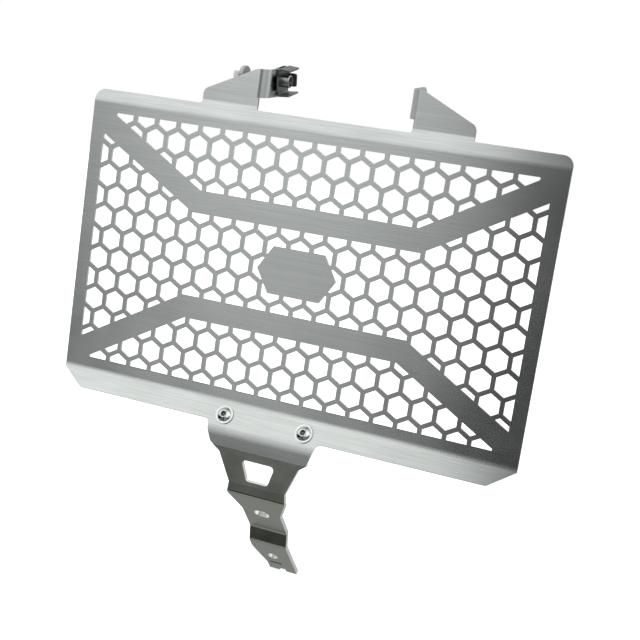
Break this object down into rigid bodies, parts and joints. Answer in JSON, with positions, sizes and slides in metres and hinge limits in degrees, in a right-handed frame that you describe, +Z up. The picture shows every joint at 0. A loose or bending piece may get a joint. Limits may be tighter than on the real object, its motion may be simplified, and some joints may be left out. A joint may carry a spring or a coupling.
{
  "type": "motorcycle radiator guard",
  "caption": "Folded stainless steel radiator guard with a hexagonal mesh, solid bands, flanged upper tabs, a clip nut with its bolt and a stepped lower bracket.",
  "frame": {"origin": "middle of the panel's back face, at the middle of the mesh", "axes": "+X to the right as the guard is seen from the front, +Y back towards the radiator and square to the panel, +Z up"},
  "size_m": [0.306, 0.0698, 0.3314],
  "materials": {
    "panel_steel": "brushed along the panel's length",
    "bracket_steel": "satin, as rolled",
    "screw_steel": "bright",
    "clip_steel": "dark, oiled",
    "bolt_steel": "zinc plated, bright"
  },
  "bodies": {
    "root": {"guard_panel": "panel_steel", "lower_bracket": "bracket_steel", "bracket_screws": "screw_steel", "bracket_nuts": "screw_steel", "clip_cage": "clip_steel", "clip_nut": "bolt_steel", "clip_bolt": "bolt_steel"}
  },
  "joints": []
}
